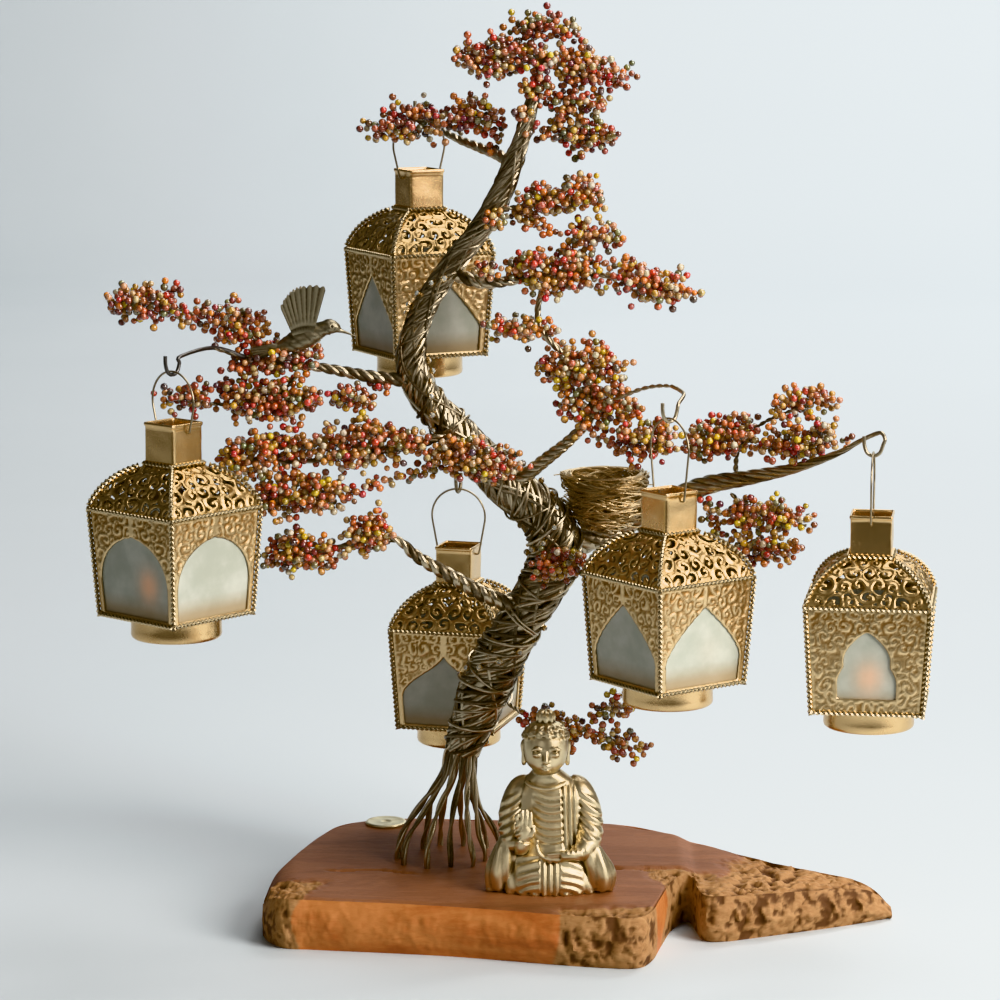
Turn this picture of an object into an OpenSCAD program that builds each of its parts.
// Wire tree with bead foliage on a live-edge wooden slab, carrying five hanging tealight lanterns.
// Origin: on the slab's underside, straight below the middle of the roots. Front is towards -Y.

/* [Slab] */
// Height of the slab's level top above its underside
slab_h = 24; // [20:1:28]
// Diameter of the metal disc that lies on the slab
disc_d = 21; // [16:1:24]

/* [Tree wires] */
// Radius of one root wire
root_wire_r = 1.6; // [1.2:0.1:1.7]
// Number of root wires
root_count = 12; // [8:1:12]
// Radius of the hook wire that a lantern hangs on
hook_r = 0.9; // [0.7:0.05:1]
// Radius of one crystal on the chain round the trunk
crystal_r = 1.3; // [1:0.1:1.6]

/* [Lanterns] */
// Width across the bottom edge of a lantern's body, as a share of its width at the eaves
body_taper = 0.89; // [0.85:0.01:0.95]
// Height of a lantern's body, from floor plate to eaves
body_h = 51; // [48:1:54]
// Rise of the roof from the eaves to the chimney
roof_h = 20; // [18:1:22]
// Height of the chimney above the roof
chimney_h = 20.5; // [18:0.5:22]
// Thickness of the brass sheet
sheet = 0.6; // [0.5:0.1:0.8]
// Diameter of the twisted rope trim
rope_d = 1.8; // [1.4:0.1:2]
// Thickness of a glass pane
glass_t = 1.4; // [1.2:0.1:1.8]
// Radius of the bail wire
bail_r = 0.5; // [0.4:0.05:0.55]
// Radius of the round part of the bail, to the wire's centre
bail_loop_r = 14; // [12:0.5:15]

/* [Candle] */
// Diameter of a tealight
tealight_d = 38; // [37:0.5:39]
// Height of a tealight's shell
tealight_h = 15.5; // [14:0.5:17]
// Outer radius of the candle cup
cup_r = 21.4; // [20.5:0.1:21.6]
// How far the cup reaches below the floor plate
cup_drop = 10.5; // [9:0.5:12]
// How far the cup's wall reaches up through the floor plate
cup_rise = 4; // [3:0.5:5]

/* [Hidden] */
$fn = 48;
LANTERNS = 5;

antique_brass = "#a8873f";
bright_brass = "#c9a650";
dark_wire = "#4d4639";
bronze_wire = "#7a5f3d";
burl = "#8a4f33";
bead_red = "#9c3f2c";
bead_amber = "#b5762f";

// Each lantern: x and y of its axis, height of its floor plate, turn of the bail's plane about Z,
// height of the bail above the holes, width at the eaves, and shape of its windows.
lantern = [
    [-125, -83, 164, -42,   28, 56, "round"],
    [ -13,  37, 273,  27,   30, 54, "lancet"],
    [   6,  50,  82, -16,   33, 55, "ogee"],
    [ 106, -83, 132, -53.5, 38, 56, "pointed"],
    [ 201, -83, 121, -99,   33, 57, "lobed"]
];

hole_gap = 0.05;      // running clearance of the bail's ends in their holes
hang_gap = 0.05;      // clearance between the bail's top and the hook wire
cup_gap = 0.1;        // running clearance between cup and floor plate
hole_below_rim = 4.5; // from the chimney's rim down to the bail holes
rim_t = 0.4;          // how far the folded rim stands out
leg_gap = 0.3;        // from the folded rim to the bail's legs
seam_gap = 0.1;       // clearance between sheets that are soldered edge to edge
window_sill = 2.6;    // height of the window's lower edge above the floor plate
window_spring = 15;   // height at which the window starts to narrow
window_top = 40;      // height of the window's point
margin = 2.4;         // sheet left beside the window
hole_z = body_h + roof_h + chimney_h - hole_below_rim;

function half_eaves(k) = lantern[k][5] / 2;
function half_floor(k) = half_eaves(k) * body_taper;
function half_chimney(k) = half_eaves(k) * 0.34;
function bail_h(k) = lantern[k][4];
function hook_z(k) = lantern[k][2] + hole_z + bail_h(k) - bail_r - hang_gap - hook_r;

// ---- swept shapes ----
function xyz(p) = [p[0], p[1], p[2]];
function unit(v) = v / norm(v);

// A Catmull-Rom curve through points that may carry a radius as their fourth number
function between(a, b, c, d, t) =
    0.5 * (2 * b + (c - a) * t + (2 * a - 5 * b + 4 * c - d) * t * t + (3 * b - a - 3 * c + d) * t * t * t);
function curve(p, steps) = [
    for (i = [0:len(p) - 2], j = [0:steps - 1])
        between(p[max(i - 1, 0)], p[i], p[i + 1], p[min(i + 2, len(p) - 1)], j / steps),
    p[len(p) - 1]];

// The direction of a path at point i, and the ring of n points round it
function heading(q, i) = unit(xyz(q[min(i + 1, len(q) - 1)]) - xyz(q[max(i - 1, 0)]));
function ring(q, i, side, n) =
    let (t = heading(q, i), u = unit(cross(t, side)), v = cross(t, u))
    [for (k = [0:n - 1]) xyz(q[i]) + q[i][3] * (cos(360 * k / n) * u + sin(360 * k / n) * v)];
function rings(q, side, n) = [for (i = [0:len(q) - 1]) ring(q, i, side, n)];

// One polyhedron that holds several closed shells, each a list of rings of n points
function rings_before(shells, s) = s == 0 ? 0 : rings_before(shells, s - 1) + len(shells[s - 1]);
module skin(shells, n) {
    polyhedron(
        points = [for (shell = shells, r = shell, p = r) p],
        faces = [for (s = [0:len(shells) - 1])
            let (o = n * rings_before(shells, s), last = len(shells[s]) - 1)
            each concat(
                [[for (k = [0:n - 1]) o + k]],
                [[for (k = [n - 1:-1:0]) o + last * n + k]],
                [for (i = [0:last - 1], k = [0:n - 1]) let (m = (k + 1) % n)
                    [o + i * n + k, o + (i + 1) * n + k, o + (i + 1) * n + m, o + i * n + m]])]);
}

// A spray of beads on its wire: a thin stem, then a closed pod from a to b that is thickest in the middle.
// A spray whose wire belongs to a branch has no stem of its own.
stem_r = 0.7;
function spray(a, b, r, stem = []) = let (side = abs(unit(b - a)[1]) > 0.9 ? [1, 0, 0] : [0, 1, 0])
    rings(concat([for (p = stem) concat(p, [stem_r])],
                 len(stem) == 0 ? [] : [concat(a - 1.5 * unit(a - stem[len(stem) - 1]), [stem_r])],
                 [for (s = [-1, -0.9, -0.6, -0.2, 0.2, 0.6, 0.9, 1])
                     concat(a + (b - a) * (s + 1) / 2, [r * max(0.25, sqrt(1 - s * s * 0.96))])]), side, 8);
module sprays(list) skin([for (p = list) spray(p[0], p[1], p[2], len(p) > 3 ? p[3] : [])], 8);

// The open hook that lantern k's bail hangs on: a U in the plane across the bail, from its tip to the shank.
// turn is 1 where the shank leaves on the side of the bail plane's left normal, -1 on the other side.
function hook(k, turn) =
    let (c = [lantern[k][0], lantern[k][1], hook_z(k)], a = lantern[k][3],
         n = turn * [-sin(a), cos(a), 0])
    [for (p = [[-4.4, 9], [-4.3, 5], [-3.2, 1.6], [-1.4, 0.15], [0, 0], [1.4, 0.15], [3.2, 1.6], [4.4, 5], [5.2, 8]])
        concat(c + p[0] * n + [0, 0, p[1]], [hook_r])];
function bail_dir(k) = [cos(lantern[k][3]), sin(lantern[k][3]), 0];

// ---- tree ----
trunk_path = [
    [8, -2, 79, 8.5], [13, -4, 94, 10], [19, -8, 111, 12], [27, -12, 129, 12], [37, -16, 148, 10.5],
    [47, -18, 164, 11], [54, -18, 180, 12.5], [51, -19, 195, 12], [41, -21, 207, 10.5], [26, -23, 220, 9.5],
    [8, -26, 240, 8.5], [-8, -28, 258, 7.5], [-15, -30, 274, 7], [-14, -30, 290, 6], [-8, -30, 305, 5.5],
    [3, -30, 322, 5], [15, -30, 337, 5], [25, -30, 353, 5], [33, -30, 371, 4.5], [39, -30, 389, 3.5],
    [43, -30, 404, 2.5], [46, -30, 424, 1.5]];
rear_fork = concat(
    [[14, -12, 226, 4], [11, 4, 224, 3.5], [8, 22, 220, 2.6], [4, 38, 215, 1.6]],
    [for (i = [8:-1:0]) hook(2, -1)[i]]);
low_sprig = [[31, -16, 106, 1.2], [38, -24, 103, 1.1], [50, -30, 99, 1], [70, -34, 96, 0.9], [90, -35, 89, 0.8]];

left_path = concat(
    [[-12, -31, 268, 4], [-28, -32, 269, 3.4], [-45, -34, 272, 3], [-60, -36, 275, 2.4], [-76, -39, 276, 1.8],
     [-94, -46, 281, 1.2], [-108, -58, 287, 1]],
    [for (i = [8:-1:0]) hook(0, 1)[i]]);
left_upper = [[-81, -40, 279.8, 1], [-90, -43, 290, 1], [-108, -44, 298, 1], [-130, -45, 305, 0.9], [-154, -46, 309, 0.8]];
left_lower = [[-70, -38, 271, 1], [-80, -41, 262, 1], [-100, -44, 258, 1], [-128, -46, 261, 0.8]];
top_left_path = concat(
    [[32, -29, 373, 3.4], [22, -17, 376.6, 2.8], [8, -2, 381, 2.2], [-3, 14, 386, 1.6], [-7, 24, 392, 1.1]],
    [for (i = [8:-1:0]) hook(1, -1)[i]]);
top_left_twig = [[9, -9, 384, 1], [2, -11, 388, 1], [-12, -12, 391, 1], [-30, -12, 388, 0.8]];
lower_left_path = [[33, -22, 156, 4.4], [19, -28, 163, 4.2], [3, -33, 173, 3.8], [-13, -36, 183, 3.2],
    [-24, -38, 192, 2], [-44, -39, 190, 1.4], [-64, -39, 185, 1], [-82, -38, 186, 0.8]];
centre_left_path = [[0, -36, 243, 2.4], [-12, -38, 238, 2.2], [-40, -40, 234, 1.6], [-70, -41, 230, 1.2], [-100, -42, 232, 0.9]];
upper_right_path = [[6, -32, 319, 3.6], [20, -33, 315, 3], [37, -33, 317, 2.6], [56, -34, 320, 2], [76, -36, 319, 1.4],
    [96, -39, 315, 1.1], [112, -42, 311, 0.8]];
second_right_path = [[27, -35, 350, 1.4], [40, -33, 352, 1.3], [58, -33, 355, 1.1], [76, -34, 358, 0.9]];
middle_right_path = [[33, -27, 216, 4], [48, -32, 229, 3.4], [61, -34, 240, 2.8], [71, -34, 252, 2.4], [69, -34, 266, 2],
    [58, -34, 280, 1.8], [47, -34, 292, 1.6], [45, -33, 302, 1.6], [47, -33, 312, 1.4]];
front_hook_path = concat(
    [[74.6, -36, 254, 1.2], [84, -41, 261, 1.2], [97, -49, 267, 1.1], [108, -60, 269, 1], [113, -71, 267, 0.95]],
    [for (i = [8:-1:0]) hook(3, 1)[i]]);
right_path = concat(
    [[56, -17, 184, 7.5], [74, -4, 187, 6.5], [98, -6, 199, 6], [124, -24, 215, 5], [147, -38, 222, 3.8],
     [168, -52, 229, 2.6], [186, -66, 238, 1.6], [197, -75, 246, 1.1], [204, -81, 250, 1]],
    [for (i = [8:-1:0]) hook(4, 1)[i]]);
right_lower = [[138, -34, 213.4, 1.2], [148, -36, 206, 1.1], [160, -38, 201, 1], [174, -41, 199, 0.8]];
right_upper = [[140, -36, 224.6, 1.4], [142, -38, 238, 1.2], [154, -43, 250, 1], [178, -47, 260, 0.8]];

// Sprays of beads: the pod's two ends, its radius, and the stem's points where it has one
top_sprays = [
    [[40, -31, 424], [8, -32, 420], 7.5, [[45.5, -30, 421]]], [[52, -30, 420], [86, -32, 411], 7, [[44.5, -30, 414]]],
    [[31, -26, 434], [64, -26, 435.5], 4, [[45.5, -29.5, 423.5], [38, -24, 430]]],
    [[52, -30, 401], [78, -32, 398], 6, [[42.5, -30, 403]]], [[50, -30, 386], [80, -30, 384], 6, [[38, -30, 386]]],
    [[-32, -12, 388], [-3, -12, 392], 7], [[26, -21, 394], [0, -14, 392], 6, [[24, -19, 377]]]];
upper_right_sprays = [
    [[36, -33, 352], [76, -34, 358], 6], [[58, -34, 339], [84, -34, 337], 5, [[28, -32, 350], [46, -34, 343]]],
    [[32, -34, 320], [74, -35, 322], 8], [[77, -36, 320], [115, -42, 311], 6], [[24, -34, 294], [52, -34, 293], 5],
    [[48, -34, 277], [84, -34, 274], 8], [[58, -34, 258], [92, -36, 255], 8],
    [[84, -43, 239], [110, -50, 243], 7, [[62, -35, 241]]]];
right_sprays = [
    [[118, -33, 238], [150, -41, 246], 8], [[153, -45, 238], [188, -60, 243], 6], [[158, -46, 258], [184, -48, 262], 5],
    [[134, -34, 205], [174, -42, 200], 6.5], [[140, -34, 188], [172, -38, 186], 5.5, [[124, -25, 212], [130, -32, 199]]]];
left_sprays = [
    [[-158, -46, 309], [-122, -44, 304], 6], [[-118, -44, 302], [-86, -43, 293], 6.5],
    [[-100, -42, 278], [-60, -40, 282], 7], [[-106, -42, 260], [-58, -40, 261], 8],
    [[-134, -46, 263], [-110, -45, 259], 4.5], [[-34, -37, 261], [-55, -38, 258], 4.5, [[-26, -32, 268]]]];
lower_left_sprays = [
    [[-106, -42, 232], [-62, -40, 236], 8], [[-59, -40, 237], [-16, -37, 240], 8.5],
    [[36, -45, 228], [-8, -45, 236], 7, [[25, -31, 223]]],
    [[-46, -40, 215], [-92, -40, 213], 7.5, [[10, -31, 236], [-14, -38, 224]]],
    [[-84, -38, 187], [-50, -38, 185], 6.5], [[-47, -38, 193], [-24, -38, 197], 6.5]];
low_sprays = [
    [[46, -39, 178], [68, -38, 181], 5, [[50, -29, 171]]], [[38, -31, 101], [69, -34, 97], 5.5],
    [[74, -34, 93], [98, -36, 87], 4.5], [[73, -34, 106], [88, -34, 109], 3.5, [[71.5, -34, 96.3]]]];

// Stations along the slab: x, y of the front edge, y of the back edge, height of the top
slab_stations = [
    [-88, -58, -44, 15], [-84, -70, -20, 21], [-76, -80, 6, slab_h], [-64, -82, 48, slab_h], [-52, -84, 70, slab_h],
    [-25, -88, 80, slab_h], [3, -93, 79, slab_h], [30, -100, 77, slab_h], [55, -107, 74, slab_h],
    [78, -112, 71, slab_h], [92, -112, 66, slab_h], [99, -100, 62, slab_h], [104, -78, 58, slab_h],
    [110, -52, 53, slab_h], [117, -36, 47, slab_h], [121, -40, 43, slab_h - 1], [125, -66, 40, slab_h - 2],
    [135, -69, 31, slab_h - 2], [150, -63, 18, slab_h - 3], [168, -55, 4, slab_h - 4], [186, -47, -6, slab_h - 5],
    [202, -39, -13, slab_h - 7], [212, -33, -18, 13], [220, -28, -23, 5]];

module wood_slab() color(burl)
    skin([[for (s = slab_stations) [
        [s[0], s[1] + 2, 0], [s[0], s[2] - 2, 0], [s[0], s[2], s[3] * 0.55],
        [s[0], s[2] - 2.5, s[3]], [s[0], s[1] + 4, s[3]], [s[0], s[1], s[3] * 0.5]]]], 6);

module metal_disc() color(antique_brass)
    translate([-32, 64, slab_h]) difference() {
        cylinder(d = disc_d, h = 1.5);
        translate([0, 0, 1]) cylinder(d = 5, h = 1);
    }

// Each root leaves the collar, runs outwards and ends in a drilled hole in the slab.
// The feet stand on an uneven circle, so their reach follows two sine waves.
function root_path(i) =
    let (a = 360 * i / root_count + 8, c = cos(a), s = sin(a), reach = 23 + 3 * sin(2 * a + 40) + 2 * sin(5 * a))
    [[8 + 6.6 * c, -2 + 6.6 * s, 78.6, root_wire_r], [6 + 8.5 * c, -1.5 + 8.5 * s, 66, root_wire_r],
     [2 + 14 * c, -1 + 14 * s, 52, root_wire_r], [(reach - 3) * c, (reach - 3) * s, 38, root_wire_r],
     [reach * c, reach * s, slab_h + 6, root_wire_r],
     [reach * c, reach * s, slab_h - 2, root_wire_r]];
module root_wires() color(bronze_wire)
    skin([for (i = [0:root_count - 1])
        rings(curve(root_path(i), 3), [-sin(360 * i / root_count), cos(360 * i / root_count), 0.02], 6)], 6);

module trunk() color(dark_wire) {
    skin([rings(curve(trunk_path, 3), [0, 1, 0], 12)], 12);
    skin([rings(curve(rear_fork, 2), bail_dir(2), 8), rings(curve(low_sprig, 2), [0, 1, 0], 8)], 8);
}

// Stones wind round the trunk at a steady pitch, each touching its surface
chain_count = 44;
module crystal_chain() color("gainsboro") {
    q = curve(trunk_path, 6);
    for (i = [0:chain_count - 1]) {
        at = 3 + i * 2;
        t = heading(q, at);
        u = unit(cross(t, [0, 1, 0]));
        v = cross(t, u);
        turn = 200 + i * 31;
        translate(xyz(q[at]) + (q[at][3] + crystal_r + 0.05) * (cos(turn) * u + sin(turn) * v))
            sphere(crystal_r, $fn = 16);
    }
}

module left_branch() color(dark_wire)
    skin([rings(curve(left_path, 2), [0, 1, 0], 8), rings(curve(left_upper, 2), [0, 1, 0], 8),
          rings(curve(left_lower, 2), [0, 1, 0], 8)], 8);
module top_left_branch() color(dark_wire)
    skin([rings(curve(top_left_path, 2), bail_dir(1), 8), rings(curve(top_left_twig, 2), [0, 1, 0], 8)], 8);
module lower_left_branch() color(dark_wire)
    skin([rings(curve(lower_left_path, 2), [0, 1, 0], 8), rings(curve(centre_left_path, 2), [0, 1, 0], 8)], 8);
module upper_right_branch() color(dark_wire)
    skin([rings(curve(upper_right_path, 2), [0, 1, 0], 8), rings(curve(second_right_path, 2), [0, 1, 0], 8)], 8);
module middle_right_branch() color(dark_wire)
    skin([rings(curve(middle_right_path, 2), [0, 1, 0], 8), rings(curve(front_hook_path, 2), bail_dir(3), 8)], 8);
module right_branch() color(dark_wire)
    skin([rings(curve(right_path, 2), [0, 0.97, 0.25], 8), rings(curve(right_lower, 2), [0, 1, 0], 8),
          rings(curve(right_upper, 2), [0, 1, 0], 8)], 8);

module top_beads() color(bead_red) sprays(top_sprays);
module upper_right_beads() color(bead_amber) sprays(upper_right_sprays);
module right_beads() color(bead_amber) sprays(right_sprays);
module left_beads() color(bead_red) sprays(left_sprays);
module lower_left_beads() color(bead_red) sprays(lower_left_sprays);
module low_beads() color(bead_amber) sprays(low_sprays);

// An open bowl of woven wire, rounded below
nest_r = 21;
nest_h = 26;
module bird_nest() color(bright_brass)
    translate([78, -19, 194]) rotate_extrude()
        polygon([[0, 0], [10, 0.8], [16, 5], [20, 12], [nest_r, 20], [nest_r - 1, nest_h], [nest_r - 5, nest_h],
                 [15, 19], [11, 14.5], [0, 12.5]]);

// A plump body along a short curve, two raised wings, and the wire that holds it to the left branch
bird_at = [-68, -50, 292];
module hummingbird() color("#8d8673") {
    translate(bird_at) {
        skin([rings(curve([[-15, 0, -5.6, 0.9], [-9, 0, -2.6, 3], [-1, 0, 1, 5], [6, 0, 3, 4.2], [10, 0, 4.6, 3],
            [13.5, 0, 5, 3.2], [17.4, 0, 3.4, 2], [19, 0, 2.6, 0.7], [26, 0, 0.4, 0.4]], 2), [0, 1, 0], 8)], 8);
        for (side = [-1, 1])
            translate([0, side * 4.2, 0]) rotate([90 - side * 12, 0, 0])
                linear_extrude(0.8) polygon([[3, 0], [2, 6], [-3, 18], [-9, 23], [-14, 22], [-16, 14], [-10, 4], [-5, 0]]);
    }
    rod(bird_at + [0, 2, -3], [bird_at[0], -38, 275.2], 0.7);
}

// Seated figure: the robe, head and cap are stacked elliptical rings, the arms and hands follow paths.
// Each ring of a stack is [x, y, height, half width, half depth].
figure_at = [51, -55, slab_h];
function stack(list) = [for (r = list) [for (j = [0:15]) [r[0] + r[3] * cos(22.5 * j), r[1] + r[4] * sin(22.5 * j), r[2]]]];
robe_rings = [
    [0, 0, 0, 28, 17], [0, 0, 3, 29, 18], [0, 0, 9, 27, 17.5], [0, 0, 16, 23.5, 15.5], [0, 1, 22, 20.5, 13.5],
    [0, 1.5, 30, 18, 12], [0, 2, 40, 17.5, 11], [0, 2.2, 48, 16.5, 10], [0, 2.2, 53, 13, 9], [0, 1.5, 57, 7.5, 7]];
head_rings = [
    [-2, 1, 54, 6.6, 6.4], [-2, 0.6, 57, 6.2, 6], [-2, -0.4, 60, 7, 7.4], [-2, -0.6, 64, 9.2, 9.4], [-2, -0.2, 69, 10.2, 10.2],
    [-2, 0.4, 74, 10.2, 10.2], [-2, 1, 78, 8.8, 9]];
cap_rings = [
    [-2, 1.6, 71.5, 10.6, 10.2], [-2, 1, 74, 11, 10.8], [-2, 1.2, 78, 9.4, 9.4], [-2, 1.2, 80.6, 6.4, 6.6], [-2, 1.2, 82, 4, 4],
    [-2, 1.2, 84.6, 3.8, 3.8], [-2, 1.2, 86.6, 2.6, 2.6], [-2, 1.2, 87, 1.2, 1.2]];
ear = [[0, 2.4, 58.5, 0.8], [0, 1.6, 61, 1.5], [0, 1.4, 65, 1.7], [0, 1.4, 70, 1.9], [0, 1.6, 73, 1.2]];
raised_arm = [[-15, 3, 50, 5.2], [-19, 0, 41, 6], [-20.5, -4, 31, 6.2], [-17, -9, 25, 5.4], [-13, -13, 27, 4.4]];
raised_hand = [[-12, -13.6, 25, 3.4], [-11.6, -14.2, 30, 4], [-11, -14, 35, 4], [-10.6, -13.2, 40, 3], [-10.4, -12.6, 43, 1.4]];
resting_arm = [[15, 3, 50, 5.2], [19.5, 1, 41, 6], [21, -3, 31, 6.6], [19, -9, 24, 6], [14, -13.4, 20, 4.6]];
resting_hand = [[15, -14.5, 20.5, 3.4], [9, -16, 20, 3.6], [3, -16.4, 19.6, 3], [-1, -16, 19.6, 1.6]];
raised_sleeve = [[-19.5, -6, 27, 5], [-22, -6.4, 19, 6], [-24, -6, 10, 6.6], [-25, -5.6, 3, 5.8], [-25, -5.6, 0.4, 4.8]];
resting_sleeve = [[18.5, -9, 23, 4.8], [21.5, -9, 16, 6], [24, -8, 9, 6.8], [24.5, -7.6, 4, 6], [24.4, -7.6, 2, 4.6]];
function aside(q, x) = [for (p = q) [p[0] + x, p[1], p[2], p[3]]];
module seated_figure() color(antique_brass)
    translate(figure_at)
        skin(concat([stack(robe_rings), stack(head_rings), stack(cap_rings)],
                    [for (x = [-12.2, 8.2]) rings(aside(ear, x), [0, 1, 0], 16)],
                    [for (q = [raised_arm, raised_hand, resting_arm, resting_hand, raised_sleeve, resting_sleeve])
                        rings(curve(q, 2), [0, 1, 0], 16)]), 16);

// ---- lanterns ----
module at_lantern(k) translate([lantern[k][0], lantern[k][1], lantern[k][2]]) rotate([0, 0, lantern[k][3]]) children();

// Share of the window's half width that is left at height t, from 0 at the springing to 1 at the point
function narrowing(shape, t) =
    shape == "round" ? pow(1 - pow(t, 2.3), 0.62) :
    shape == "lancet" ? 1 - pow(t, 1.1) :
    shape == "pointed" ? 1 - pow(t, 1.35) :
    shape == "ogee" ? 0.5 + 0.5 * cos(180 * pow(t, 1.15)) :
    pow(1 - pow(t, 1.8), 0.7) * (0.84 + 0.16 * abs(cos(270 * t)));
function sill(k) = lantern[k][6] == "lobed" ? 8 : window_sill;
function window_half(k, z) =
    let (side = half_floor(k) + (half_eaves(k) - half_floor(k)) * z / body_h - margin - 1,
         t = max(0, (z - window_spring) / (window_top - window_spring)))
    lantern[k][6] == "lobed"
        ? 0.6 * side * (z < window_spring ? 1 : narrowing("lobed", t))
        : side * narrowing(lantern[k][6], t);
window_steps = 14;
function window(k) =
    let (zs = concat([sill(k)], [for (i = [0:window_steps]) window_spring + (window_top - window_spring) * i / window_steps]))
    concat([for (z = zs) [max(0.01, window_half(k, z)), z]],
           [for (i = [len(zs) - 2:-1:0]) [-window_half(k, zs[i]), zs[i]]]);

// A flat piece drawn with z upwards, stood on wall j of lantern k at the wall's lean, depth behind its face
module on_wall(k, j, depth, thick) {
    lean = atan((half_eaves(k) - half_floor(k)) / body_h);
    rotate([0, 0, 90 * j]) translate([0, -half_floor(k), 0]) rotate([90 + lean, 0, 0])
        translate([0, 0, -depth - thick]) linear_extrude(thick) children();
}
module wall_outline(k, low, high, inset) {
    slope = (half_eaves(k) - half_floor(k)) / body_h;
    polygon([[-half_floor(k) - slope * low + inset, low], [half_floor(k) + slope * low - inset, low],
             [half_floor(k) + slope * high - inset, high], [-half_floor(k) - slope * high + inset, high]]);
}

module body_panels(k) color(antique_brass) at_lantern(k) {
    for (j = [0:3])
        on_wall(k, j, 0, sheet) difference() {
            wall_outline(k, 0, body_h, sheet + seam_gap);
            polygon(window(k));
        }
    half = half_floor(k) - sheet - 0.2;
    difference() {
        translate([-half, -half, 0.1]) cube([2 * half, 2 * half, sheet]);
        translate([0, 0, -1]) cylinder(r = cup_r + cup_gap, h = 3);
    }
}

module glass_panes(k) color("#d5d8cd", 0.6) at_lantern(k)
    for (j = [0:3])
        on_wall(k, j, sheet + 0.15, glass_t) wall_outline(k, 1.6, body_h - 1.5, sheet + glass_t + 0.6);

// Right-hand half of the roof's section: a circle through the eaves and the chimney's foot, steep at the eaves
eaves_slope = 75;
module roof_section(k, inset) {
    run = half_eaves(k) - half_chimney(k);
    chord = norm([run, roof_h]);
    bend = eaves_slope - atan(roof_h / run);
    r = chord / (2 * sin(bend));
    centre = [half_eaves(k) - r * sin(eaves_slope), -r * cos(eaves_slope)];
    intersection() {
        translate(centre) circle(r - inset);
        translate([-centre[0], centre[1]]) circle(r - inset);
        translate([-half_eaves(k) - 1, inset == 0 ? 0 : -1]) square([2 * half_eaves(k) + 2, roof_h - inset + (inset == 0 ? 0 : 1)]);
    }
}
// Vents go straight through opposite faces of the roof: x or y offset and height of each
vents = [[-14, 6.5], [0, 6], [14, 6.5], [-7, 11.5], [7, 11.5], [0, 15]];
vent_r = 1.3;
module roof_slab(k, turn, inset) rotate([0, 0, turn]) rotate([90, 0, 0])
    linear_extrude(2 * half_eaves(k) + 4, center = true) roof_section(k, inset);
module roof(k) color(antique_brass) at_lantern(k) translate([0, 0, body_h + 0.1]) difference() {
    intersection() {
        roof_slab(k, 0, 0);
        roof_slab(k, 90, 0);
    }
    intersection() {
        roof_slab(k, 0, sheet);
        roof_slab(k, 90, sheet);
    }
    half = half_chimney(k) + seam_gap;
    translate([-half, -half, 0]) cube([2 * half, 2 * half, roof_h + 2]);
    for (turn = [0, 90], v = vents) rotate([0, 0, turn]) translate([v[0], 0, v[1]])
        rotate([90, 0, 0]) cylinder(r = vent_r, h = 2 * half_eaves(k) + 4, center = true, $fn = 24);
}

module chimney(k) color(bright_brass) at_lantern(k) {
    half = half_chimney(k);
    low = body_h + roof_h - 2;
    rim_z = body_h + roof_h + chimney_h;
    difference() {
        union() {
            translate([-half, -half, low]) cube([2 * half, 2 * half, rim_z - low]);
            translate([-half - rim_t, -half - rim_t, rim_z - 1.4]) cube([2 * (half + rim_t), 2 * (half + rim_t), 1.4]);
        }
        translate([-half + sheet, -half + sheet, low - 1])
            cube([2 * (half - sheet), 2 * (half - sheet), rim_z - low + 2]);
        translate([0, 0, hole_z]) rotate([0, 90, 0]) cylinder(r = bail_r + hole_gap, h = 4 * half, center = true, $fn = 24);
    }
}

module rod(a, b, r) {
    d = b - a;
    translate(a) rotate([0, acos(d[2] / norm(d)), atan2(d[1], d[0])]) cylinder(r = r, h = norm(d), $fn = 24);
}
// Four rods between the corner posts or hips, 0.1 mm clear of them
module square_of_rods(half, z, post) for (j = [0:3]) rotate([0, 0, 90 * j])
    rod([-half + post, -half, z], [half - post, -half, z], rope_d / 2);
function roof_half(k, z) =
    let (run = half_eaves(k) - half_chimney(k), chord = norm([run, roof_h]), bend = eaves_slope - atan(roof_h / run),
         r = chord / (2 * sin(bend)), cx = half_eaves(k) - r * sin(eaves_slope), cz = -r * cos(eaves_slope))
    cx + sqrt(r * r - (z - cz) * (z - cz));
module rope_trim(k) color("#8f7a4a") at_lantern(k) {
    out = rope_d / 2 + 0.14;
    foot = half_floor(k) + out;
    eaves = half_eaves(k) + out;
    square_of_rods(foot, 0.9, rope_d / 2 + 0.1);
    square_of_rods(eaves, body_h, rope_d / 2 + 0.1);
    square_of_rods(half_chimney(k) + out, body_h + roof_h + 1.2, -rope_d / 2);
    for (j = [0:3]) rotate([0, 0, 90 * j])
        rod([foot, foot, -0.1], [eaves, eaves, body_h + 0.9], rope_d / 2);
    // The hips bow with the roof and stop just below the square at the chimney's foot
    skin([for (j = [0:3]) let (c = cos(90 * j), s = sin(90 * j))
        rings([for (z = [0.9, 4, 8, 12, 16, roof_h - 1.2]) let (a = roof_half(k, z) + out + 0.1)
            [a * (c - s), a * (s + c), body_h + z + 0.9, rope_d / 2]], [-s - c, c - s, 0], 6)], 6);
}

// The cup is a straight-sided pan that slides up through the floor plate's hole
module candle_cup(k) color(bright_brass) at_lantern(k) difference() {
    translate([0, 0, -cup_drop]) cylinder(r = cup_r, h = cup_drop + cup_rise);
    translate([0, 0, -cup_drop + sheet]) cylinder(r = cup_r - sheet, h = cup_drop + cup_rise);
}

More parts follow.
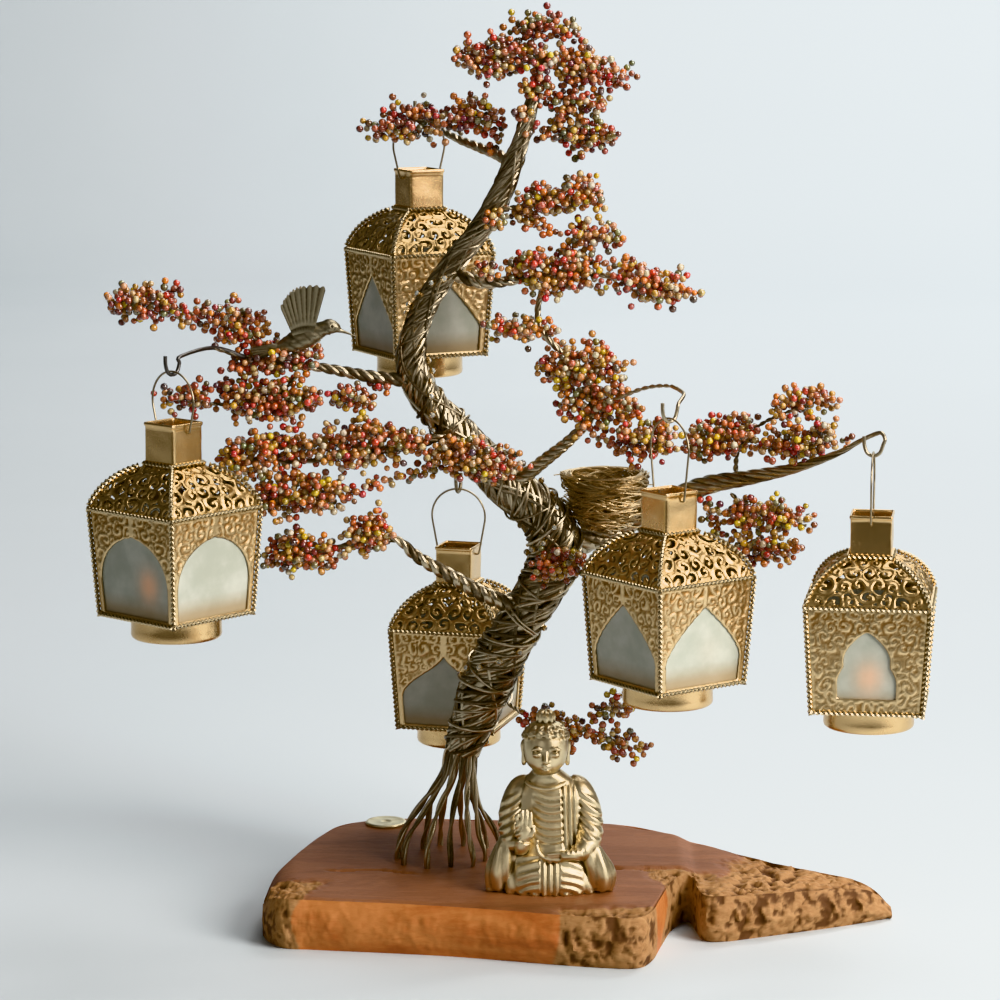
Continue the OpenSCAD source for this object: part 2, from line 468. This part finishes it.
module tealight(k) at_lantern(k) translate([0, 0, -cup_drop + sheet + 0.05]) {
    r = tealight_d / 2;
    wall = 0.4;
    color("silver") difference() {
        cylinder(r = r, h = tealight_h);
        translate([0, 0, wall]) cylinder(r = r - wall, h = tealight_h);
    }
    color("ivory") translate([0, 0, wall + 0.02]) cylinder(r = r - wall - 0.05, h = tealight_h - 4);
    color("dimgray") translate([0, 0, wall + 0.04 + tealight_h - 4]) cylinder(r = 0.6, h = 5);
}

// One wire: a round loop, two legs that leave it at a tangent, a tight bend inwards through each hole,
// and ends that turn up inside the chimney. Its path is drawn in the bail's own plane, x and height.
bend_r = 0.9;
function arc(c, r, from, to, steps) = [for (i = [0:steps]) let (a = from + (to - from) * i / steps)
    [c[0] + r * cos(a), c[1] + r * sin(a)]];
function half_bail(k) =
    let (leg = half_chimney(k) + rim_t + leg_gap + bail_r + 0.3, inner = half_chimney(k) - sheet - 1.6,
         rise = bail_h(k) - bail_loop_r, reach = norm([leg, rise]),
         from = atan2(-rise, leg) + acos(bail_loop_r / reach))
    concat([[inner, hole_z + 3.5], [inner, hole_z + bend_r]],
           arc([inner + bend_r, hole_z + bend_r], bend_r, 202, 270, 2),
           arc([leg - bend_r, hole_z + bend_r], bend_r, 270, 350, 3),
           arc([0, hole_z + rise], bail_loop_r, from, 78, 7));
module bail(k) color("#b59a58") at_lantern(k) {
    half = half_bail(k);
    last = len(half) - 1;
    path = concat([for (p = half) [p[0], 0, p[1], bail_r]], [[0, 0, hole_z + bail_h(k), bail_r]],
                  [for (i = [last:-1:0]) [-half[i][0], 0, half[i][1], bail_r]]);
    skin([rings(path, [0, 1, 0], 8)], 8);
}

wood_slab();
metal_disc();
root_wires();
trunk();
crystal_chain();
left_branch();
top_left_branch();
lower_left_branch();
upper_right_branch();
middle_right_branch();
right_branch();
top_beads();
upper_right_beads();
right_beads();
left_beads();
lower_left_beads();
low_beads();
bird_nest();
hummingbird();
seated_figure();
for (k = [0:LANTERNS - 1]) {
    bail(k);
    chimney(k);
    roof(k);
    body_panels(k);
    glass_panes(k);
    rope_trim(k);
    candle_cup(k);
    tealight(k);
}
